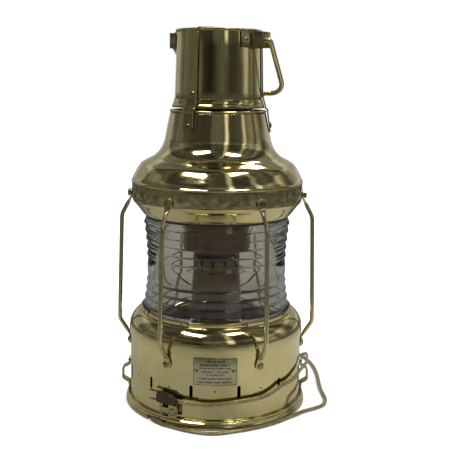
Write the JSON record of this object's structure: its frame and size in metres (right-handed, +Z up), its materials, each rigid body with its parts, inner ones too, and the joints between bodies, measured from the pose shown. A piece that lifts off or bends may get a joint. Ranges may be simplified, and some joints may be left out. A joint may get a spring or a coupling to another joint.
{
  "type": "ship lantern",
  "caption": "Tall brass ship lantern with a waisted Fresnel lens in a rod cage, dome lid with chimney, swinging carrying bail and a stowed mains flex.",
  "frame": {"origin": "centre of the foot ring on the surface it stands on", "axes": "+Z up through the chimney; -Y is the front with the name plate, +X to the right seen from the front"},
  "size_m": [0.3267, 0.3913, 0.5666],
  "materials": {
    "brass": "polished, lightly hazed",
    "fastener_brass": "worn polish",
    "dark_brass": "tarnished, sooty",
    "plate_metal": "engraved, greyed",
    "lens_glass": "clear pressed glass",
    "bulb_glass": "clear",
    "gasket": "matt",
    "black_fittings": "matt phenolic",
    "flex": "clear gold vinyl",
    "plug_plastic": "satin",
    "prong_metal": "bright"
  },
  "bodies": {
    "lantern": {"foot_ring": "brass", "base_tray": "dark_brass", "drum_shell": "brass", "drum_shoulder": "brass", "lens_seat_ring": "brass", "lens_gasket_lower": "gasket", "fresnel_lens": "lens_glass", "lens_gasket_upper": "gasket", "bowl": "brass", "guard_rod_1": "brass", "guard_rod_2": "brass", "guard_rod_3": "brass", "guard_rod_4": "brass", "guard_rod_5": "brass", "guard_rod_6": "brass", "rod_bolts_top": "fastener_brass", "rod_bolts_foot": "fastener_brass", "side_loop_right": "brass", "side_loop_left": "brass", "side_loop_rivets": "fastener_brass", "name_plate": "plate_metal", "plate_screws": "fastener_brass", "latch_bracket": "brass", "latch_pin": "fastener_brass", "latch_keeper": "fastener_brass", "font": "dark_brass", "burner_tube": "brass", "burner_crown": "brass", "lamp_socket": "black_fittings", "bulb": "bulb_glass", "cord_grommet": "gasket", "cord_lead": "flex", "cord_coil": "flex", "cord_return": "flex", "plug_body": "plug_plastic", "plug_prongs": "prong_metal"},
    "lid": {"dome_lid": "brass", "neck_rim": "brass", "inner_flue": "dark_brass", "chimney_shell": "brass", "chimney_rim": "brass", "chimney_flare": "brass", "smoke_baffle": "dark_brass", "chimney_strap_1": "brass", "chimney_strap_2": "brass", "chimney_strap_3": "brass", "strap_rivets": "fastener_brass", "bail_bracket_front": "brass", "bail_bracket_back": "brass", "bracket_screws": "fastener_brass"},
    "bail": {"bail": "brass"},
    "latch": {"latch_lever": "brass"}
  },
  "joints": [
    {"name": "lid_lift", "type": "slide", "parent": "lantern", "child": "lid", "axis": [0, 0, 1], "range_m": [0, 0.12]},
    {"name": "bail_swing", "type": "hinge", "parent": "lid", "child": "bail", "pos_m": [0, 0, 0.5498], "axis": [0.866, -0.5, 0], "range_deg": [0, 270]},
    {"name": "latch_swing", "type": "hinge", "parent": "lantern", "child": "latch", "pos_m": [-0.07622, -0.113, 0.023], "axis": [0, 0, -1], "range_deg": [0, 115]}
  ]
}
